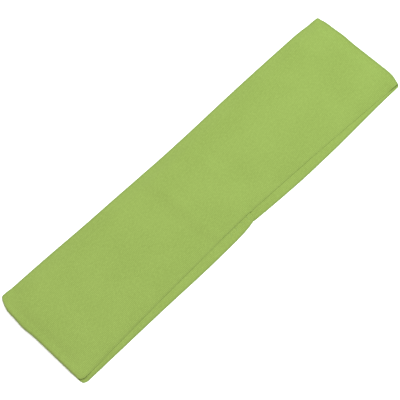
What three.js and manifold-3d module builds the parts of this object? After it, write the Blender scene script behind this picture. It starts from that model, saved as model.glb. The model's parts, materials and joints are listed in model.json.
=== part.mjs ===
// Textile resistance loop: one wide strip of woven elastic, lapped and sewn into an endless loop, lying flat.
// Millimetres, +Z up. X runs along the loop, Y across its width. The origin is on the ground under its middle.
// The webbing is a flat woven sleeve around a layer of rubber threads, cut here into the lengths that move.
import * as THREE from "three";
import { mergeVertices } from "three/addons/utils/BufferGeometryUtils.js";
import Module from "manifold-3d";

const wasm = await Module();
wasm.setup();

// Driving dimensions of the loop
const loopLength = 330; // from fold to fold, lying flat
const webbingWidth = 80;
const webbingThickness = 1.6;
const runGap = 1; // clear height between the two runs
const runOffset = 2.5; // each run lies this far to its own side of the middle

// Inside the webbing
const coverWall = 0.45;
const nestGap = 0.1; // clearance around the rubber inside its cover
const selvedgeRadius = 0.7;
const cutGap = 0.3; // clearance where two lengths of the strip meet

// Places along the loop where it bends or stretches
const bendX = 88; // both runs bend here, at each side
const lapStartX = -19.5; // cut end of the outer ply
const lapEndX = 6.5; // cut end of the inner ply
const rampLength = 8; // the inner ply climbs onto the outer ply
const rampFoot = 2; // level stretch between the climb and the outer ply's end
const seamEndX = 16.5; // the outer ply's own length past the lap
const humpStartX = -52; // the upper run rises over the lap
const humpTopX = -31;
const humpFallX = 8;
const humpEndX = 29;
const humpMargin = 2; // level webbing at each end of the length that lies over the lap
const upperJoinX = 61; // the loop is closed here

// Sewing of the lap: rows of zigzag across the webbing, sunk in shallow grooves
const stitchRows = 4;
const stitchRowPitch = 6;
const stitchPitch = 4;
const stitchWidth = 2.2;
const threadWidth = 0.6;
const threadHeight = 0.2;
const grooveDepth = 0.3;
const grooveWidth = 3.6;
const stitchMargin = 4; // the rows stop short of the selvedges

// Derived heights
const halfThickness = webbingThickness / 2;
const lowerZ = halfThickness;
const upperZ = webbingThickness + runGap + halfThickness;
const foldZ = webbingThickness + runGap / 2;
const foldRadius = foldZ - halfThickness; // of the strip's middle surface
const foldX = loopLength / 2 - foldZ; // centre of each fold
const plyRise = webbingThickness + cutGap;
const humpRise = plyRise + cutGap - runGap;
const rubberThickness = webbingThickness - 2 * (coverWall + nestGap);
const rubberWidth = webbingWidth - 2 * (coverWall + nestGap);
const halfCut = cutGap / 2;
const foldSteps = 7;
const plySteps = 24;
const humpSteps = 42;
const edgeSegments = 3;

const coverMaterial = () => new THREE.MeshStandardMaterial({ color: 0xa0bc61, roughness: 0.9, metalness: 0 });
const rubberMaterial = () => new THREE.MeshStandardMaterial({ color: 0xd9c9a0, roughness: 0.6, metalness: 0 });
const threadMaterial = () => new THREE.MeshStandardMaterial({ color: 0x8aa850, roughness: 0.7, metalness: 0 });

const loop = new THREE.Group();

function addMesh(name, geometry, material) {
  const mesh = new THREE.Mesh(geometry, material);
  mesh.name = name;
  loop.add(mesh);
}

// Cross-sections: the first coordinate is through the thickness, the second across the width
function roundedSection(width, thickness, radius) {
  const x = thickness / 2;
  const y = width / 2;
  const outline = new THREE.Shape();
  outline.moveTo(x, -y + radius);
  outline.lineTo(x, y - radius);
  outline.absarc(x - radius, y - radius, radius, 0, Math.PI / 2, false);
  outline.lineTo(-x + radius, y);
  outline.absarc(-x + radius, y - radius, radius, Math.PI / 2, Math.PI, false);
  outline.lineTo(-x, -y + radius);
  outline.absarc(-x + radius, -y + radius, radius, Math.PI, 1.5 * Math.PI, false);
  outline.lineTo(x - radius, -y);
  outline.absarc(x - radius, -y + radius, radius, 1.5 * Math.PI, 2 * Math.PI, false);
  return outline;
}

function rectangle(width, thickness, Outline) {
  const x = thickness / 2;
  const y = width / 2;
  const outline = new Outline();
  outline.moveTo(-x, -y);
  outline.lineTo(x, -y);
  outline.lineTo(x, y);
  outline.lineTo(-x, y);
  outline.closePath();
  return outline;
}

function coverSection() {
  const section = roundedSection(webbingWidth, webbingThickness, selvedgeRadius);
  const inside = rectangle(webbingWidth - 2 * coverWall, webbingThickness - 2 * coverWall, THREE.Path);
  section.holes.push(inside);
  return section;
}

function rubberSection() {
  return rectangle(rubberWidth, rubberThickness, THREE.Shape);
}

function sweep(section, path, steps) {
  return new THREE.ExtrudeGeometry(section, {
    steps,
    curveSegments: edgeSegments,
    bevelEnabled: false,
    extrudePath: path,
  });
}

// One length of webbing: its woven cover and the rubber inside it
function addWebbing(name, path, steps, shape = (geometry) => geometry) {
  addMesh(`${name}_webbing`, shape(sweep(coverSection(), path, steps)), coverMaterial());
  addMesh(`${name}_rubber`, shape(sweep(rubberSection(), path, steps)), rubberMaterial());
}

function straightRun(fromX, toX, y, z) {
  return new THREE.LineCurve3(new THREE.Vector3(fromX, y, z), new THREE.Vector3(toX, y, z));
}

// A path in a vertical plane along X, whose frames keep the webbing's width level along Y
class LevelPath extends THREE.Curve {
  computeFrenetFrames(segments) {
    const frames = { tangents: [], normals: [], binormals: [] };
    for (let i = 0; i <= segments; i++) {
      const tangent = this.getTangentAt(i / segments);
      const across = new THREE.Vector3(0, 1, 0);
      frames.tangents.push(tangent);
      frames.binormals.push(across);
      frames.normals.push(new THREE.Vector3().crossVectors(across, tangent));
    }
    return frames;
  }
}

// A quarter of the U-turn at one end: side is -1 at the left and 1 at the right, level is -1 below and 1 above
class FoldQuarter extends LevelPath {
  constructor(side, level) {
    super();
    this.side = side;
    this.level = level;
  }

  getPoint(t, target = new THREE.Vector3()) {
    const cutAngle = halfCut / foldRadius;
    const angle = cutAngle + (1 - t) * (Math.PI / 2 - cutAngle);
    const x = this.side * (foldX + foldRadius * Math.cos(angle));
    return target.set(x, 0, foldZ + this.level * foldRadius * Math.sin(angle));
  }
}

// The strip slants from one run's side of the middle to the other's as it goes round the fold
function slantThroughFold(geometry) {
  const points = geometry.attributes.position;
  for (let i = 0; i < points.count; i++) {
    const angle = Math.atan2(points.getZ(i) - foldZ, Math.abs(points.getX(i)) - foldX);
    points.setY(i, points.getY(i) + (runOffset * angle) / (Math.PI / 2));
  }
  return geometry;
}

// The inner ply climbs from the ground onto the outer ply's cut end and lies on it
class InnerPlyPath extends LevelPath {
  getPoint(t, target = new THREE.Vector3()) {
    const startX = lapStartX - rampLength - rampFoot + halfCut;
    const x = startX + t * (lapEndX - startX);
    const climb = THREE.MathUtils.smoothstep(x, startX, startX + rampLength);
    return target.set(x, -runOffset, lowerZ + plyRise * climb);
  }
}

// The upper run rests on the lap, so it rises over it
class HumpPath extends LevelPath {
  getPoint(t, target = new THREE.Vector3()) {
    const startX = humpStartX - humpMargin + halfCut;
    const x = startX + t * (humpEndX + humpMargin - halfCut - startX);
    const rise = THREE.MathUtils.smoothstep(x, humpStartX, humpTopX);
    const fall = THREE.MathUtils.smoothstep(x, humpFallX, humpEndX);
    return target.set(x, runOffset, upperZ + humpRise * (rise - fall));
  }
}

function toManifold(geometry) {
  const bare = geometry.clone();
  bare.deleteAttribute("normal");
  bare.deleteAttribute("uv");
  const merged = mergeVertices(bare);
  return new wasm.Manifold(new wasm.Mesh({
    numProp: 3,
    vertProperties: merged.attributes.position.array,
    triVerts: Uint32Array.from(merged.index.array),
  }));
}

function toGeometry(solid) {
  const mesh = solid.getMesh();
  const geometry = new THREE.BufferGeometry();
  geometry.setAttribute("position", new THREE.BufferAttribute(new Float32Array(mesh.vertProperties), 3));
  geometry.setIndex(new THREE.BufferAttribute(new Uint32Array(mesh.triVerts), 1));
  geometry.computeVertexNormals();
  return geometry;
}

function stitchRowX(row) {
  const lapMiddle = (lapStartX + lapEndX) / 2;
  return lapMiddle + (row - (stitchRows - 1) / 2) * stitchRowPitch;
}

// Shallow grooves that the stitches pull into the face at height z
function cutGrooves(geometry, z) {
  let solid = toManifold(geometry);
  for (let row = 0; row < stitchRows; row++) {
    const groove = new THREE.BoxGeometry(grooveWidth, webbingWidth - 2 * stitchMargin + 1, 2 * grooveDepth);
    groove.translate(stitchRowX(row), -runOffset, z);
    solid = solid.subtract(toManifold(groove));
  }
  return toGeometry(solid);
}

// One row of zigzag across the webbing, as a flat ribbon of thread
function zigzagRow(centreX, bottomZ) {
  const rowLength = webbingWidth - 2 * stitchMargin;
  const points = Math.round((2 * rowLength) / stitchPitch);
  const swing = (stitchWidth - threadWidth) / 2;
  const edge = (offset) => {
    const line = [];
    for (let i = 0; i <= points; i++) {
      const y = -rowLength / 2 + (i * rowLength) / points;
      line.push(new THREE.Vector2((i % 2 ? swing : -swing) + offset, y));
    }
    return line;
  };
  const outline = [...edge(threadWidth / 2), ...edge(-threadWidth / 2).reverse()];
  const geometry = new THREE.ExtrudeGeometry(new THREE.Shape(outline), { depth: threadHeight, bevelEnabled: false });
  geometry.translate(centreX, -runOffset, bottomZ);
  return geometry;
}

// The lap seam in the middle of the lower run
function addSeam() {
  const outerPath = straightRun(lapStartX, seamEndX - halfCut, -runOffset, lowerZ);
  const innerPath = new InnerPlyPath();
  const innerTop = webbingThickness + plyRise;
  const innerCover = sweep(coverSection(), innerPath, plySteps);
  const outerCover = sweep(coverSection(), outerPath, 1);
  addMesh("lap_inner_ply_webbing", cutGrooves(innerCover, innerTop), coverMaterial());
  addMesh("lap_inner_ply_rubber", sweep(rubberSection(), innerPath, plySteps), rubberMaterial());
  addMesh("lap_outer_ply_webbing", cutGrooves(outerCover, 0), coverMaterial());
  addMesh("lap_outer_ply_rubber", sweep(rubberSection(), outerPath, 1), rubberMaterial());
  const clearance = (grooveDepth - threadHeight) / 2;
  for (let row = 0; row < stitchRows; row++) {
    const x = stitchRowX(row);
    addMesh(`needle_thread_row_${row + 1}`, zigzagRow(x, innerTop - threadHeight - clearance), threadMaterial());
    addMesh(`bobbin_thread_row_${row + 1}`, zigzagRow(x, clearance), threadMaterial());
  }
}

// The two lengths of the lower run beside the seam, which slide apart as the loop stretches
function addLowerRun() {
  const leftEndX = lapStartX - rampLength - rampFoot - halfCut;
  addWebbing("lower_left", straightRun(-bendX + halfCut, leftEndX, -runOffset, lowerZ), 1);
  addWebbing("lower_right", straightRun(seamEndX + halfCut, bendX - halfCut, -runOffset, lowerZ), 1);
}

// The upper run's middle: three lengths that slide apart, and the short one where the loop is closed
function addUpperRun() {
  const leftEndX = humpStartX - humpMargin - halfCut;
  const rightStartX = humpEndX + humpMargin + halfCut;
  addWebbing("upper_left", straightRun(-bendX + halfCut, leftEndX, runOffset, upperZ), 1);
  addWebbing("upper_middle", new HumpPath(), humpSteps);
  addWebbing("upper_right", straightRun(rightStartX, upperJoinX - halfCut, runOffset, upperZ), 1);
  addWebbing("upper_right_end", straightRun(upperJoinX + halfCut, bendX - halfCut, runOffset, upperZ), 1);
}

// One end of the loop: a side length of each run, and the fold in two halves
function addEnd(sideName, side) {
  for (const [levelName, level, z] of [["lower", -1, lowerZ], ["upper", 1, upperZ]]) {
    const run = straightRun(side * (bendX + halfCut), side * (foldX - halfCut), level * runOffset, z);
    addWebbing(`${sideName}_${levelName}_side`, run, 1);
    addWebbing(`${sideName}_${levelName}_fold`, new FoldQuarter(side, level), foldSteps, slantThroughFold);
  }
}

addSeam();
addLowerRun();
addUpperRun();
addEnd("left", -1);
addEnd("right", 1);

export default loop;
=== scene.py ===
"""Looks of a textile resistance loop around the CAD frame: elastic webbing, rubber core and stitching."""
import json
import math

import bpy
import numpy as np
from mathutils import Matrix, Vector


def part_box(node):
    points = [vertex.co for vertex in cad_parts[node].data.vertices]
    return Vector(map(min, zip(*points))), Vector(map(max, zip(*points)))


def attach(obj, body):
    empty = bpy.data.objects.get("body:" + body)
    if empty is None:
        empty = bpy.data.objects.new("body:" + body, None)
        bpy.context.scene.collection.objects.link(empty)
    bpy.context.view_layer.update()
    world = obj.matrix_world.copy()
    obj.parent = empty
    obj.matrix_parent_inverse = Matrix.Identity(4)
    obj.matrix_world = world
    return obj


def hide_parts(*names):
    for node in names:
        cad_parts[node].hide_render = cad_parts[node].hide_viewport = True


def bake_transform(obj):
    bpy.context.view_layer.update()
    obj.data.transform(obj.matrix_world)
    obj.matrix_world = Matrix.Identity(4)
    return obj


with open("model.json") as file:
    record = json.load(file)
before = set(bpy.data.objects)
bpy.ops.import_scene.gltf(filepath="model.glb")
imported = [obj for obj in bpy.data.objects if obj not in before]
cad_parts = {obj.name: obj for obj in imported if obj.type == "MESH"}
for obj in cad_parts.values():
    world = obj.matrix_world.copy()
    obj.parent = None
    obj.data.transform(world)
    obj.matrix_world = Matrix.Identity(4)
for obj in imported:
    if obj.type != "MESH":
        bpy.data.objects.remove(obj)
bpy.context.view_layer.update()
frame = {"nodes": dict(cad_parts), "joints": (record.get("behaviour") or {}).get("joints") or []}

MM = 0.001


# Sizes and places taken from the frame, in metres

def low(node):
    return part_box(node)[0]


def high(node):
    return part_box(node)[1]


def joint_place(name):
    return Vector(next(j for j in frame["joints"] if j["name"] == name)["pos_m"])


THICKNESS = high("lower_left_webbing").z - low("lower_left_webbing").z
HALF = THICKNESS / 2
RUBBER_THICKNESS = high("lower_left_rubber").z - low("lower_left_rubber").z
INNER_LOW = high("lower_left_webbing").z  # the lower run's inner face
INNER_HIGH = low("upper_left_webbing").z  # the upper run's inner face
FOLD_GAP = 0.3 * (INNER_HIGH - INNER_LOW)  # the picture's loop is pressed flatter at its folds
FOLD_Z = INNER_LOW + FOLD_GAP / 2
FOLD_RADIUS = FOLD_Z - HALF
END_X = joint_place("right_fold_opening").x
FOLD_X = END_X - FOLD_Z  # centre of each U-turn
BEND_X = joint_place("lower_right_bend").x
LAP_START = low("lap_outer_ply_webbing").x
LAP_END = high("lap_inner_ply_webbing").x
SEAM_LEFT = low("lap_inner_ply_webbing").x
SEAM_RIGHT = high("lap_outer_ply_webbing").x
UPPER_JOIN = low("upper_right_end_webbing").x
NOMINAL_WIDTH = high("lower_left_webbing").y - low("lower_left_webbing").y
STITCH_ROWS = [n for n in sorted(frame["nodes"]) if n.startswith("needle_thread_row_")]
ROW_X = [(low(n).x + high(n).x) / 2 for n in STITCH_ROWS]
ROW_LENGTH = high(STITCH_ROWS[0]).y - low(STITCH_ROWS[0]).y

# Where the loop bends and stretches, and so where its pieces meet
PIECE_STEP = 1 * MM  # each piece is rigid for this much next to its neighbour
STRETCH_EDGE = BEND_X - 13 * MM
BEND_LENGTH = 23 * MM  # the bend starts at the hinge, so nothing dips under the floor
SIDE_X = BEND_X + BEND_LENGTH + PIECE_STEP
TURN_X = FOLD_X - 4 * MM
UPPER_MIDDLE_X = (LAP_START + LAP_END) / 2

# Mesh fineness
STATION_STEP = 2.2 * MM
FOLD_STATIONS = 26
ACROSS = 40
EDGE_STEPS = 6


def smooth(x, start, end):
    """From 0 to 1 as x goes from start to end."""
    t = np.clip((x - start) / (end - start), 0, 1)
    return float(t * t * (3 - 2 * t))


def swell(x, centre, reach):
    """A rounded hump of height 1."""
    return math.exp(-(((x - centre) / reach) ** 2))


# The strip's plan: where its near (-Y) and far (+Y) selvedges run. The webbing is slack, so they wander a
# little, by the distances below.

HALF_RUN = 155 * MM
UPPER_NEAR_Y = -34.5 * MM
UPPER_NEAR_SPREAD = 2.7 * MM
UPPER_NEAR_BOW = 2.6 * MM
UPPER_NEAR_SKEW = 0.55 * MM
UPPER_FAR_Y = 42.35 * MM
UPPER_FAR_SLACK = 1.8 * MM
UPPER_FAR_TIGHT = 0.6 * MM
UPPER_FAR_TUCK = 2.0 * MM
INNER_PLY_NEAR_Y = -42.6 * MM
INNER_PLY_DRAWN = 2.5 * MM
INNER_PLY_SLACK = 0.6 * MM
LOWER_NEAR_Y = -43.5 * MM
LOWER_NEAR_DRAWN = 2.4 * MM
LOWER_NEAR_TUCK = 1.3 * MM
LOWER_FAR_Y = 38.2 * MM
LOWER_FAR_SPREAD = 2.2 * MM
OUTER_PLY_STEP = 0.9 * MM


def upper_near(x):
    reach = abs(x - 5 * MM) / HALF_RUN
    drift = UPPER_NEAR_SPREAD * reach + UPPER_NEAR_BOW * reach**2
    return UPPER_NEAR_Y - drift - UPPER_NEAR_SKEW * x / HALF_RUN


def upper_far(x):
    slack = UPPER_FAR_SLACK * (1 - swell(x, -5 * MM, 62 * MM))
    tight = UPPER_FAR_TIGHT * swell(x, -85 * MM, 30 * MM)
    tuck = UPPER_FAR_TUCK * smooth(x, 138 * MM, 170 * MM)
    return UPPER_FAR_Y + slack - tight - tuck


def inner_ply_near(x):
    drawn = INNER_PLY_DRAWN * max((x + 30 * MM) / (36 * MM), 0) ** 4
    return INNER_PLY_NEAR_Y + drawn - INNER_PLY_SLACK * swell(x, -45 * MM, 30 * MM)


def lower_near(x):
    """The plies aren't sewn quite edge to edge, so the selvedge steps at the inner ply's end."""
    if x < LAP_END:
        return inner_ply_near(x)
    drawn = LOWER_NEAR_DRAWN * max(1 - (x - LAP_END) / (55 * MM), 0) ** 1.5
    return LOWER_NEAR_Y + drawn + LOWER_NEAR_TUCK * smooth(x, 80 * MM, 150 * MM)


def outer_ply_near(x):
    return lower_near(max(x, LAP_END)) + OUTER_PLY_STEP * smooth(LAP_END - x, 0, 5 * MM)


def lower_far(x):
    return LOWER_FAR_Y + LOWER_FAR_SPREAD * smooth(abs(x), 90 * MM, 160 * MM)


# The strip's thickness, as a share of the full one

SELVEDGE_SHARE = 0.15
SEWN_SHARE = 0.76
CUT_END_SHARE = 0.5


def fullness(from_edge):
    """The webbing thins towards its selvedges."""
    return SELVEDGE_SHARE + (1 - SELVEDGE_SHARE) * smooth(from_edge, -0.5 * MM, 8 * MM)


def pressed(x):
    """The sewing presses the plies of the lap thinner."""
    rise = smooth(x, SEAM_LEFT + 3 * MM, LAP_START + 2 * MM)
    fall = smooth(x, LAP_END, LAP_END + 6 * MM)
    return 1 - (1 - SEWN_SHARE) * (rise - fall)


def pressed_inner(x):
    """The inner ply's cut end is flattened too."""
    return pressed(x) * (1 - (1 - CUT_END_SHARE) * smooth(x, LAP_END - 3 * MM, LAP_END))


# The strip's heights. The upper run lies on the lower one along its near selvedge, rises over the lap, and
# stands free of the lower run in its middle, up to a soft lengthwise crease. At the folds both are level.

NEAR_GAP = 0.02 * MM
MIDDLE_GAP = 1.0 * MM
FAR_GAP = 0.3 * MM
PLY_GAP = 0.06 * MM
WAVE_HEIGHT = 0.06 * MM
CREASE_Y = 17 * MM
CREASE_DRIFT = 4 * MM  # the crease runs further over towards both ends
CREASE_SOFTNESS = 3 * MM
FAR_REACH = 26 * MM  # from the crease to the far selvedge


def near_turn(x):
    return smooth(abs(x), TURN_X - 6 * MM, TURN_X)


def waves(x, y):
    """Slow, small unevenness of slack cloth, never below zero."""
    a = math.sin(x / (23 * MM) + 0.7) * math.sin(y / (17 * MM) + x / (90 * MM))
    b = math.sin(x / (41 * MM) - 1.1 + y / (29 * MM))
    return WAVE_HEIGHT * (2 + a + b)


def lower_height(x, y):
    return HALF + 0.4 * waves(x + 60 * MM, y) * (1 - near_turn(x))


def ply_lift(x, y):
    """How far the inner ply lies above the outer one's place on the floor."""
    edge = min(y - outer_ply_near(x), lower_far(x) - y)
    climb = smooth(x, SEAM_LEFT, LAP_START - 1.5 * MM)
    return climb * (PLY_GAP + THICKNESS * fullness(edge) * pressed(LAP_END))


def lap_hump(x, y):
    """How far the lap lifts the upper run: closely at its near selvedge, in gentle slopes elsewhere."""
    ease = smooth(y - upper_near(x), 0, 20 * MM)
    rise = smooth(x, SEAM_LEFT - 8 * MM * ease, LAP_START - (1.5 + 2.5 * ease) * MM)
    fall = smooth(x, LAP_END - 2.1 * MM * (1 - ease), LAP_END + (2.3 + 12.7 * ease) * MM)
    return (rise - fall) * ply_lift(LAP_END, y)


def crease_y(x):
    return CREASE_Y + CREASE_DRIFT * smooth(abs(x - 20 * MM), 20 * MM, 150 * MM)


def lower_top(x, y):
    edge = min(y - lower_near(x), lower_far(x) - y)
    return lower_height(x, y) - HALF + THICKNESS * fullness(edge) * pressed(x)


def run_gap(x, y):
    """Clear height between the runs: near selvedge, middle, and falling steadily past the crease."""
    lift = smooth(y - upper_near(x), 1 * MM, 16 * MM)
    past = y - crease_y(x)
    ramp = (past + math.hypot(past, CREASE_SOFTNESS)) / 2 / FAR_REACH
    return NEAR_GAP + (MIDDLE_GAP - NEAR_GAP) * lift - (MIDDLE_GAP - FAR_GAP) * ramp + lift * waves(x, y)


def upper_height(x, y):
    """Of the strip's middle surface where it has its full thickness."""
    free = lower_top(x, y) + lap_hump(x, y) + run_gap(x, y)
    level = INNER_LOW + FOLD_GAP
    return HALF + free * (1 - near_turn(x)) + level * near_turn(x)


# The folds: round corners at the selvedges, and ends that aren't quite straight or square

CORNER = {(-1, "near"): 6.4 * MM, (-1, "far"): 3.0 * MM, (1, "near"): 2.2 * MM, (1, "far"): 3.4 * MM}
CORNER_SOFTNESS = 0.35 * MM
DRAWN_IN = {(-1, "near"): -0.8 * MM, (-1, "far"): 3.5 * MM, (1, "near"): 2.2 * MM, (1, "far"): -0.1 * MM}
DRAWN_WIDTH = 15 * MM
CREASE_BULGE = {-1: 0.85 * MM, 1: 0.5 * MM}  # where the crease meets each fold
CREASE_BULGE_REACH = 7 * MM
END_SLOPE = {-1: 0.016, 1: 0.008}


def corner_inset(side, edge, x):
    radius = CORNER[(side, edge)]
    into = max(radius - (END_X - side * x) - CORNER_SOFTNESS, 0)
    return radius - math.sqrt(max(radius * radius - into * into, 0))


def end_shift(x, y):
    """How far a point moves along X, as the loop's ends aren't square and are drawn in at their corners."""
    side = 1 if x > 0 else -1
    near = max(1 - (y - upper_near(x)) / DRAWN_WIDTH, 0)
    far = max(1 - (upper_far(x) - y) / DRAWN_WIDTH, 0)
    drawn = DRAWN_IN[(side, "near")] * near**2 + DRAWN_IN[(side, "far")] * far**2
    drawn -= CREASE_BULGE[side] * swell(y, crease_y(0), CREASE_BULGE_REACH)
    reach = smooth(abs(x), TURN_X - 18 * MM, TURN_X)
    return -(END_SLOPE[side] * y + side * drawn) * reach


class Place:
    """One station along the strip: where its middle surface runs, and which way its outer face looks."""

    def __init__(self, x, near, far, height, face, along):
        self.x = x
        self.near = near
        self.far = far
        self.height = height  # a function of y
        self.face = face  # unit vector (x, z) towards the outside of the loop
        self.along = along  # distance along the strip, for the weave


def lower_station(x, along, near=lower_near, rise=lambda x, y: 0.0):
    side = 1 if x > 0 else -1
    y_near = near(x) + corner_inset(side, "near", x)
    y_far = lower_far(x) - corner_inset(side, "far", x)
    return Place(x, y_near, y_far, lambda y: lower_height(x, y) + rise(x, y), (0, -1), along)


def upper_station(x, along):
    side = 1 if x > 0 else -1
    y_near = upper_near(x) + corner_inset(side, "near", x)
    y_far = upper_far(x) - corner_inset(side, "far", x)
    return Place(x, y_near, y_far, lambda y: upper_height(x, y), (0, 1), along)


def fold_station(side, angle, along):
    """angle is -90 degrees where the lower run enters the fold and 90 where the upper run leaves it."""
    out = math.cos(angle)
    up = math.sin(angle)
    x = side * (FOLD_X + FOLD_RADIUS * out)
    rim = side * (FOLD_X + FOLD_Z * out)
    top = (1 + up) / 2
    start = side * FOLD_X
    near = lower_near(start) * (1 - top) + upper_near(start) * top + corner_inset(side, "near", rim)
    far = lower_far(start) * (1 - top) + upper_far(start) * top - corner_inset(side, "far", rim)
    return Place(x, near, far, lambda y: FOLD_Z + FOLD_RADIUS * up, (side * out, up), along)


# Distances along the strip, measured from the seam's middle: lower right, right fold, upper run, left fold
ARC = math.pi * FOLD_RADIUS
LOWER_LENGTH = FOLD_X
UPPER_START = LOWER_LENGTH + ARC
UPPER_END = UPPER_START + 2 * FOLD_X
FOLD_LINES = (LOWER_LENGTH + ARC / 2, UPPER_END + ARC / 2)


def along_lower(x):
    return x


def along_upper(x):
    return UPPER_START + FOLD_X - x


def spread(start, end, step=STATION_STEP):
    count = max(2, int(math.ceil(abs(end - start) / step)) + 1)
    return [float(x) for x in np.linspace(start, end, count)]


def lower_stations(x0, x1):
    return [lower_station(x, along_lower(x)) for x in spread(x0, x1)]


def upper_stations(x0, x1):
    return [upper_station(x, along_upper(x)) for x in spread(x0, x1)]


def fold_stations(side):
    """From the lower run's piece edge, round the fold, to the upper run's."""
    flat = spread(side * TURN_X, side * FOLD_X, 0.7 * MM)
    turn = [float(a) for a in np.linspace(-math.pi / 2, math.pi / 2, FOLD_STATIONS)][1:-1]
    line = FOLD_LINES[0] if side > 0 else FOLD_LINES[1]
    lower = [lower_station(x, line - side * ARC / 2 - side * (FOLD_X - abs(x))) for x in flat]
    arc = [fold_station(side, a, line + side * FOLD_RADIUS * a) for a in turn]
    upper = [upper_station(x, along_upper(x)) for x in reversed(flat)]
    return lower + arc + upper


# Meshes

def ring(place, half, inset):
    """The cross-section at one station: outer face, far selvedge, inner face, near selvedge."""
    near = place.near + inset
    far = place.far - inset
    nose = half * fullness(0)  # the selvedges are half round
    flat = [near + nose + (far - near - 2 * nose) * k / ACROSS for k in range(ACROSS + 1)]
    turn = [math.pi * k / EDGE_STEPS for k in range(1, EDGE_STEPS)]
    points = [(y, 1.0) for y in flat]
    points += [(far - nose + nose * math.sin(b), math.cos(b)) for b in turn]
    points += [(y, -1.0) for y in reversed(flat)]
    points += [(near + nose - nose * math.sin(b), -math.cos(b)) for b in turn]
    return points


def strip_mesh(name, stations, half=HALF, inset=0.0, pull=None, press=lambda x: 1.0):
    """A closed solid along the stations. pull(x, y, h) lifts a point, where stitches draw the cloth in."""
    verts = []
    uvs = []
    for place in stations:
        for y, h in ring(place, half, inset):
            full = fullness(min(y - place.near, place.far - y)) * press(place.x)
            x = place.x + place.face[0] * half * full * h + end_shift(place.x, y)
            z = place.height(y) + place.face[1] * half * full * h - HALF * (1 - full)
            if pull:
                z += pull(place.x, y, h * place.face[1])
            verts.append((x, y, z))
            across = (y - place.near) / (place.far - place.near)
            uvs.append((place.along, across * NOMINAL_WIDTH))
    count = len(ring(stations[0], half, inset))
    faces = []
    for i in range(len(stations) - 1):
        for j in range(count):
            k = (j + 1) % count
            faces.append((i * count + j, i * count + k, (i + 1) * count + k, (i + 1) * count + j))
    last = (len(stations) - 1) * count
    side_faces = len(faces)
    faces += cap_faces(0, False) + cap_faces(last, True)
    mesh = bpy.data.meshes.new(name)
    mesh.from_pydata(verts, [], faces)
    layer = mesh.uv_layers.new(name="weave")
    flat = np.array([uvs[loop.vertex_index] for loop in mesh.loops], np.float32)
    layer.data.foreach_set("uv", flat.ravel())
    finish_mesh(mesh, side_faces)
    piece = bpy.data.objects.new(name, mesh)
    bpy.context.scene.collection.objects.link(piece)
    return piece


def cap_faces(first, flip):
    """Closes one end of a strip: quads between its outer and inner faces, and one face at each selvedge."""
    outer = list(range(ACROSS + 1))
    far = list(range(ACROSS + 1, ACROSS + EDGE_STEPS))
    inner = list(range(ACROSS + EDGE_STEPS, 2 * ACROSS + EDGE_STEPS + 1))
    near = list(range(2 * ACROSS + EDGE_STEPS + 1, 2 * ACROSS + 2 * EDGE_STEPS))
    inner.reverse()
    quads = [(outer[k], inner[k], inner[k + 1], outer[k + 1]) for k in range(ACROSS)]
    quads.append(tuple([outer[-1], inner[-1]] + far[::-1]))
    quads.append(tuple([inner[0], outer[0]] + near[::-1]))
    moved = [tuple(first + v for v in quad) for quad in quads]
    return [tuple(reversed(quad)) for quad in moved] if flip else moved


def finish_mesh(mesh, side_faces):
    """Smooth faces with sharp rims at the two ends, all facing out."""
    mesh.update()
    smooth_flags = np.ones(len(mesh.polygons), bool)
    smooth_flags[side_faces:] = False
    mesh.polygons.foreach_set("use_smooth", smooth_flags)
    cap_edges = set()
    for polygon in list(mesh.polygons)[side_faces:]:
        cap_edges.update(polygon.edge_keys)
    for edge in mesh.edges:
        if edge.key in cap_edges:
            edge.use_edge_sharp = True
    volume = 0.0
    for polygon in mesh.polygons:
        points = [mesh.vertices[v].co for v in polygon.vertices]
        for b, c in zip(points[1:-1], points[2:]):
            volume += points[0].dot(b.cross(c))
    if volume < 0:
        mesh.flip_normals()


# Materials

class Nodes:
    """Small helpers that keep node code readable."""

    def __init__(self, name):
        self.material = bpy.data.materials.new(name)
        self.material.use_nodes = True
        self.tree = self.material.node_tree
        self.shader = self.tree.nodes["Principled BSDF"]

    def add(self, kind, **settings):
        node = self.tree.nodes.new(kind)
        for key, value in settings.items():
            setattr(node, key, value)
        return node

    def feed(self, socket, value):
        if isinstance(value, bpy.types.NodeSocket):
            self.tree.links.new(value, socket)
        else:
            socket.default_value = value

    def math(self, operation, a, b=0.0):
        node = self.add("ShaderNodeMath", operation=operation)
        self.feed(node.inputs[0], a)
        self.feed(node.inputs[1], b)
        return node.outputs[0]

    def remap(self, value, low_in, high_in, low_out, high_out):
        node = self.add("ShaderNodeMapRange", interpolation_type="SMOOTHSTEP")
        for socket, given in zip(node.inputs, (value, low_in, high_in, low_out, high_out)):
            self.feed(socket, given)
        return node.outputs[0]

    def weave_map(self):
        """The map in metres of webbing, and its distances along and across."""
        uv = self.add("ShaderNodeUVMap", uv_map="weave").outputs[0]
        split = self.add("ShaderNodeSeparateXYZ")
        self.feed(split.inputs[0], uv)
        return uv, split.outputs[0], split.outputs[1]

    def noise(self, vector, scale, detail=2.0, roughness=0.5):
        node = self.add("ShaderNodeTexNoise")
        self.feed(node.inputs["Vector"], vector)
        node.inputs["Scale"].default_value = scale
        node.inputs["Detail"].default_value = detail
        node.inputs["Roughness"].default_value = roughness
        return node.outputs["Fac"]

    def mix(self, factor, a, b):
        node = self.add("ShaderNodeMix", data_type="RGBA")
        self.feed(node.inputs[0], factor)
        self.feed(node.inputs[6], a)
        self.feed(node.inputs[7], b)
        return node.outputs[2]

    def bump(self, height, strength, distance):
        node = self.add("ShaderNodeBump")
        self.feed(node.inputs["Height"], height)
        node.inputs["Strength"].default_value = strength
        node.inputs["Distance"].default_value = distance
        return node.outputs[0]


def srgb(r, g, b):
    """An 8-bit display colour as linear light."""
    def linear(c):
        c = c / 255
        return c / 12.92 if c <= 0.04045 else ((c + 0.055) / 1.055) ** 2.4
    return (linear(r), linear(g), linear(b), 1.0)


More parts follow.
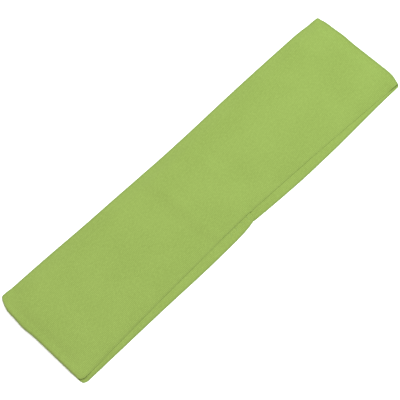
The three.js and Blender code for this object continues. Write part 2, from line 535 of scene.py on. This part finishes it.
RIB_PITCH = 1.0 * MM  # across the webbing, one rib to each rubber thread
PICK_PITCH = 1.3 * MM  # along it, one weft pick to each bump
TWIST_PITCH = 0.45 * MM  # of the sewing thread's plies
LATEX_PITCH = 0.8 * MM
SELVEDGE_WIDTH = 2.0 * MM
# Painted into the cloth's colour: darker selvedge yarn with painted edge shade at the selvedges, painted
# crevice shade along the upper run's near selvedge, and painted shade along the fold lines
SELVEDGE_SHADE = 0.85
UPPER_NEAR_SHADES = (0.05, 0.4)
FOLD_LINE_WIDTHS = (2.8 * MM, 1.4 * MM)
FOLD_SHADE = 0.8


def weave_height(n, u, v):
    """Rounded bumps from 0 to 1: a row of them along each rib, half a pick out of step with the next row."""
    rib = n.math("DIVIDE", v, RIB_PITCH)
    rib_round = n.math("SINE", n.math("MULTIPLY", n.math("FRACT", rib), math.pi))
    step = n.math("MULTIPLY", n.math("FLOOR", rib), 0.5)
    pick = n.math("ADD", n.math("DIVIDE", u, PICK_PITCH), step)
    pick_wave = n.math("COSINE", n.math("MULTIPLY", pick, 2 * math.pi))
    pick_round = n.math("ADD", n.math("MULTIPLY", pick_wave, 0.5), 0.5)
    return n.math("MULTIPLY", rib_round, n.math("ADD", n.math("MULTIPLY", pick_round, 0.6), 0.4))


def rim_shade(n, u, v):
    """How much the cloth's colour is darkened: at its selvedges, darker selvedge yarn together with painted
    edge shade; along the upper run's near selvedge, painted shade of the crevice where it lies on the lower
    run; along its two fold lines, painted shade on the folds' rounded turns.
    """
    on_lower = n.remap(u, LOWER_LENGTH - 10 * MM, LOWER_LENGTH, SELVEDGE_SHADE, 0.0)
    # The near side of the upper run gets only faint painted crevice shade, and less of it towards its right
    # end
    on_upper = n.remap(u, LOWER_LENGTH, LOWER_LENGTH + 200 * MM, *UPPER_NEAR_SHADES)
    near_selvedge = n.remap(v, 0.0, SELVEDGE_WIDTH, n.math("MAXIMUM", on_lower, on_upper), 0.0)
    far_selvedge = n.remap(v, NOMINAL_WIDTH - SELVEDGE_WIDTH, NOMINAL_WIDTH, 0.0, SELVEDGE_SHADE)
    shade = n.math("ADD", near_selvedge, far_selvedge)
    # Painted shade along each fold line, on the fold's rounded turn
    for line, width in zip(FOLD_LINES, FOLD_LINE_WIDTHS):
        from_line = n.math("ABSOLUTE", n.math("SUBTRACT", u, line))
        on_line = n.remap(from_line, 0.3 * width, width, FOLD_SHADE, 0.0)
        shade = n.math("MAXIMUM", shade, on_line)
    return shade


def woven_material():
    n = Nodes("woven_elastic_green")
    uv, u, v = n.weave_map()
    weave = weave_height(n, u, v)
    # Noise scales are in cells to a metre of webbing
    fibre = n.noise(uv, 2600.0, 3.0, 0.65)
    yarn = n.noise(uv, 700.0, 2.0, 0.6)
    mottle = n.noise(uv, 500.0, 1.0, 0.5)
    cloud = n.noise(uv, 38.0, 2.0, 0.5)

    base = srgb(131, 149.5, 74.5)
    # Groove colour: painted shade in the weave's grooves, also used for random darker yarn
    groove_shade_and_dark_yarn = srgb(108.5, 124, 55.5)
    # Tip colour: painted highlight on the weave's crowns, also used for random lighter patches
    tip_highlight_and_light_yarn = srgb(140, 158.5, 83.5)
    # Colour of darker selvedge yarn and of the painted edge, crevice and fold shade
    selvedge_yarn_and_painted_shade = srgb(111, 125, 64)
    # Painted shade in the weave's grooves and a painted highlight on its crowns, from the same height as the
    # bumps
    colour = n.mix(n.remap(weave, 0.0, 0.45, 1.0, 0.0), base, groove_shade_and_dark_yarn)
    colour = n.mix(n.remap(weave, 0.55, 1.0, 0.0, 0.45), colour, tip_highlight_and_light_yarn)
    # Random darker yarn and mottling, and lighter clouds: the cloth's own uneven tone
    colour = n.mix(n.remap(yarn, 0.3, 0.7, 0.0, 0.28), colour, groove_shade_and_dark_yarn)
    colour = n.mix(n.remap(mottle, 0.3, 0.7, 0.0, 0.22), colour, groove_shade_and_dark_yarn)
    colour = n.mix(n.remap(cloud, 0.3, 0.7, 0.0, 0.15), colour, tip_highlight_and_light_yarn)
    # Painted shade at the selvedges, along the upper run's near edge and on the fold lines, over darker
    # selvedge yarn
    colour = n.mix(rim_shade(n, u, v), colour, selvedge_yarn_and_painted_shade)
    n.feed(n.shader.inputs["Base Color"], colour)

    height = n.math("ADD", weave, n.math("MULTIPLY", fibre, 0.35))
    n.feed(n.shader.inputs["Normal"], n.bump(height, 0.55, 0.12 * MM))
    n.feed(n.shader.inputs["Roughness"], n.remap(fibre, 0.2, 0.8, 0.82, 0.95))
    n.shader.inputs["Sheen Weight"].default_value = 0.05
    n.shader.inputs["Sheen Roughness"].default_value = 0.5
    n.shader.inputs["Specular IOR Level"].default_value = 0.25
    return n.material


def thread_material():
    n = Nodes("sewing_thread_green")
    _, u, v = n.weave_map()
    twist = n.math("ADD", n.math("MULTIPLY", u, 1 / TWIST_PITCH), v)
    ply = n.math("ABSOLUTE", n.math("SINE", n.math("MULTIPLY", twist, math.pi)))
    # Darker in the grooves between the thread's plies: painted shade
    colour = n.mix(ply, srgb(119, 143, 68), srgb(138, 163, 82))
    n.feed(n.shader.inputs["Base Color"], colour)
    n.feed(n.shader.inputs["Normal"], n.bump(ply, 0.5, 0.05 * MM))
    n.shader.inputs["Roughness"].default_value = 0.55
    n.shader.inputs["Sheen Weight"].default_value = 0.2
    return n.material


def rubber_material():
    n = Nodes("latex_tan")
    uv, _, v = n.weave_map()
    threads = n.math("ABSOLUTE", n.math("SINE", n.math("MULTIPLY", v, math.pi / LATEX_PITCH)))
    chalk = n.noise(uv, 900.0, 2.0, 0.6)
    # Darker in the gaps between the rubber threads: painted shade
    colour = n.mix(threads, srgb(136, 116, 75), srgb(200, 184, 145))
    colour = n.mix(n.remap(chalk, 0.4, 0.7, 0.0, 0.4), colour, srgb(215, 207, 187))
    n.feed(n.shader.inputs["Base Color"], colour)
    n.feed(n.shader.inputs["Normal"], n.bump(threads, 0.8, 0.2 * MM))
    n.shader.inputs["Roughness"].default_value = 0.6
    return n.material


WOVEN = woven_material()
THREAD = thread_material()
RUBBER = rubber_material()


# Pieces

RUBBER_INSET = (NOMINAL_WIDTH - (high("lower_left_rubber").y - low("lower_left_rubber").y)) / 2
FOLD_RUBBER_INSET = RUBBER_INSET + 2.5 * MM  # clear of the round corners when the folds open


def add_length(name, stations, nodes,
               pull=None, press=lambda x: 1.0, inset=RUBBER_INSET):
    """One length of webbing: the woven cover, and the rubber inside it."""
    cover = strip_mesh(name + "_cover", stations, pull=pull, press=press)
    cover.data.materials.append(WOVEN)
    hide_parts(*[node + "_webbing" for node in nodes])
    core = strip_mesh(name + "_latex", stations, RUBBER_THICKNESS / 2, inset, pull, press)
    core.data.materials.append(RUBBER)
    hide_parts(*[node + "_rubber" for node in nodes])
    return [cover, core]


SIDE_WORDS = ((-1, "left"), (1, "right"))


def add_lower_run():
    for side, word in SIDE_WORDS:
        body = "lower_" + word
        side_body = word + "_lower_side"
        seam_x = SEAM_LEFT if side < 0 else SEAM_RIGHT
        stations = lower_stations(seam_x, side * STRETCH_EDGE)
        for piece in add_length(body + "_stretch", stations, [body]):
            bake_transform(piece)
        stations = lower_stations(side * STRETCH_EDGE, side * SIDE_X)
        for piece in add_length(body + "_bend", stations, [body]):
            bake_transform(piece)
        stations = lower_stations(side * SIDE_X, side * TURN_X)
        for piece in add_length(side_body, stations, [side_body]):
            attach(piece, side_body)


def add_folds():
    for side, word in SIDE_WORDS:
        nodes = [f"{word}_{level}_fold" for level in ("lower", "upper")]
        for piece in add_length(word + "_fold", fold_stations(side), nodes,
                                inset=FOLD_RUBBER_INSET):
            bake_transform(piece)


def add_upper_stretch(word, near_x, far_x):
    """Half of the upper run's middle, which stays still over the seam and stretches outwards."""
    body = "upper_" + word
    nodes = [body, "upper_middle"]
    for piece in add_length(body + "_stretch", upper_stations(far_x, near_x), nodes):
        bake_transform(piece)


def add_upper_bend(side, word, body, near_x):
    side_body = word + "_upper_side"
    for piece in add_length(f"upper_{word}_bend", upper_stations(side * SIDE_X, side * near_x), [body]):
        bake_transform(piece)
    for piece in add_length(side_body, upper_stations(side * TURN_X, side * SIDE_X), [side_body]):
        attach(piece, side_body)


def add_upper_run():
    add_upper_stretch("left", UPPER_MIDDLE_X, -STRETCH_EDGE)
    add_upper_stretch("right", UPPER_MIDDLE_X, UPPER_JOIN)
    add_upper_bend(-1, "left", "upper_left", STRETCH_EDGE)
    add_upper_bend(1, "right", "upper_right_end", UPPER_JOIN)


# The lap seam

STITCH_PULL = 0.1 * MM
STITCH_REACH = 1.3 * MM


def stitch_pull(x):
    return STITCH_PULL * sum(swell(x, row, STITCH_REACH) for row in ROW_X)


def seam_stations(start, end, near, rise=lambda x, y: 0.0):
    return [lower_station(x, along_lower(x), near, rise) for x in spread(start, end, 0.6 * MM)]


def add_seam():
    inner = seam_stations(SEAM_LEFT, LAP_END, inner_ply_near, ply_lift)
    outer = seam_stations(LAP_START, SEAM_RIGHT, outer_ply_near)

    def pull_inner(x, y, h):
        return -stitch_pull(x) * (1 if h >= 0 else -h)

    def pull_outer(x, y, h):
        return stitch_pull(x) if h < 0 else 0.0

    pieces = add_length("lap_inner_ply", inner, ["lap_inner_ply"],
                        pull_inner, pressed_inner)
    pieces += add_length("lap_outer_ply", outer, ["lap_outer_ply"],
                         pull_outer, pressed)
    for piece in pieces:
        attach(piece, "seam")


STITCH_PITCH = 4 * MM
STITCH_SWING = 0.85 * MM
STITCH_POINTS = 6
THREAD_RADIUS = 0.14 * MM
THREAD_SIDES = 8


def thread_mesh(name, points):
    """A closed tube along the points, with a UV that runs along and round it."""
    verts = []
    faces = []
    uvs = []
    travelled = 0.0
    for i, p in enumerate(points):
        before, after = points[max(i - 1, 0)], points[min(i + 1, len(points) - 1)]
        tangent = (after - before).normalized()
        side = tangent.cross(Vector((0, 0, 1))).normalized()
        up = side.cross(tangent)
        if i:
            travelled += (p - points[i - 1]).length
        for k in range(THREAD_SIDES):
            a = 2 * math.pi * k / THREAD_SIDES
            verts.append(p + THREAD_RADIUS * (math.cos(a) * side + math.sin(a) * up))
            uvs.append((travelled, k / THREAD_SIDES))
    for i in range(len(points) - 1):
        for k in range(THREAD_SIDES):
            m = (k + 1) % THREAD_SIDES
            a, b = i * THREAD_SIDES, (i + 1) * THREAD_SIDES
            faces.append((a + k, a + m, b + m, b + k))
    side_faces = len(faces)
    faces.append(tuple(range(THREAD_SIDES))[::-1])
    last = (len(points) - 1) * THREAD_SIDES
    faces.append(tuple(last + k for k in range(THREAD_SIDES)))
    mesh = bpy.data.meshes.new(name)
    mesh.from_pydata([tuple(v) for v in verts], [], faces)
    layer = mesh.uv_layers.new(name="weave")
    flat = np.array([uvs[loop.vertex_index] for loop in mesh.loops], np.float32)
    layer.data.foreach_set("uv", flat.ravel())
    finish_mesh(mesh, side_faces)
    piece = bpy.data.objects.new(name, mesh)
    bpy.context.scene.collection.objects.link(piece)
    return piece


def zigzag(row_x, middle_y, surface, arch):
    """Points of one zigzag row: each stitch arches off the cloth and dives into it at its two holes."""
    holes = int(round(2 * ROW_LENGTH / STITCH_PITCH))
    points = []
    for i in range(holes):
        for k in range(STITCH_POINTS):
            t = k / STITCH_POINTS
            y = middle_y - ROW_LENGTH / 2 + (i + t) * ROW_LENGTH / holes
            x = row_x + STITCH_SWING * (1 - 2 * t) * (1 if i % 2 else -1)
            lift = arch * (math.sin(math.pi * t) ** 0.5 - 0.55)
            points.append(Vector((x, y, surface(x, y) + lift)))
    return points


def add_stitches():
    middle_y = (low(STITCH_ROWS[0]).y + high(STITCH_ROWS[0]).y) / 2

    def inner_face(x, y):
        return lower_top(x, y) + ply_lift(x, y) - stitch_pull(x)

    def outer_face(x, y):
        return THREAD_RADIUS + 0.05 * MM

    for index, row_x in enumerate(ROW_X):
        for word, surface, arch in (("needle", inner_face, 0.18 * MM), ("bobbin", outer_face, 0.05 * MM)):
            name = f"{word}_thread_row_{index + 1}"
            piece = thread_mesh(f"{word}_stitches_{index + 1}", zigzag(row_x, middle_y, surface, arch))
            piece.data.materials.append(THREAD)
            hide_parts(name)
            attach(piece, "seam")


# Floor, light and camera

FLOOR_REACH = 3.0
FLOOR_WHITE = 0.97
WORLD_STRENGTH = 0.78
OVERHEAD_WATTS = 24.0
OVERHEAD_TINT = (1.0, 0.955, 0.975)
KEY_WATTS = 6.6
KEY_TINT = (0.6, 1.0, 0.66)  # the picture's cloth is greener towards its right end


def add_floor():
    mesh = bpy.data.meshes.new("floor")
    corners = [(x * FLOOR_REACH, y * FLOOR_REACH, 0) for x, y in ((-1, -1), (1, -1), (1, 1), (-1, 1))]
    mesh.from_pydata(corners, [], [(0, 1, 2, 3)])
    floor = bpy.data.objects.new("floor", mesh)
    bpy.context.scene.collection.objects.link(floor)
    n = Nodes("floor_white")
    n.shader.inputs["Base Color"].default_value = (FLOOR_WHITE, FLOOR_WHITE, FLOOR_WHITE, 1)
    n.shader.inputs["Roughness"].default_value = 0.9
    n.shader.inputs["Specular IOR Level"].default_value = 0.0
    floor.data.materials.append(n.material)


def add_light(name, place, size, power, colour):
    data = bpy.data.lights.new(name, "AREA")
    data.color = colour
    data.shape = "DISK"
    data.size = size
    data.energy = power
    light = bpy.data.objects.new(name, data)
    light.location = place
    light.rotation_euler = (-Vector(place)).to_track_quat("-Z", "Y").to_euler()
    bpy.context.scene.collection.objects.link(light)


def add_studio():
    world = bpy.data.worlds.new("studio")
    world.use_nodes = True
    background = world.node_tree.nodes["Background"]
    background.inputs["Color"].default_value = (1, 1, 1, 1)
    background.inputs["Strength"].default_value = WORLD_STRENGTH
    bpy.context.scene.world = world
    add_light("overhead", (0.1, 0.05, 1.6), 2.0, OVERHEAD_WATTS, OVERHEAD_TINT)
    add_light("key", (0.6, -0.05, 0.85), 1.0, KEY_WATTS, KEY_TINT)
    bpy.context.scene.view_settings.view_transform = "Standard"


# The viewing angle of the picture: steep, with the loop running from lower left to upper right
ELEVATION = math.radians(64.77)
AZIMUTH = math.radians(-45.48)
DISTANCE = 0.8986
SENSOR = 36.0
FOCAL = 112.07
AIM = Vector((-10.8 * MM, -1.51 * MM, 0))


def add_camera():
    data = bpy.data.cameras.new("camera")
    data.sensor_width = SENSOR
    data.lens = FOCAL
    data.clip_start = 0.01
    camera = bpy.data.objects.new("camera", data)
    towards = Vector((
        math.sin(AZIMUTH) * math.cos(ELEVATION),
        -math.cos(AZIMUTH) * math.cos(ELEVATION),
        math.sin(ELEVATION),
    ))
    camera.location = AIM + DISTANCE * towards
    camera.rotation_euler = (-towards).to_track_quat("-Z", "Y").to_euler()
    bpy.context.scene.collection.objects.link(camera)
    bpy.context.scene.camera = camera


add_camera()
add_floor()
add_studio()
add_seam()
add_lower_run()
add_folds()
add_upper_run()
add_stitches()
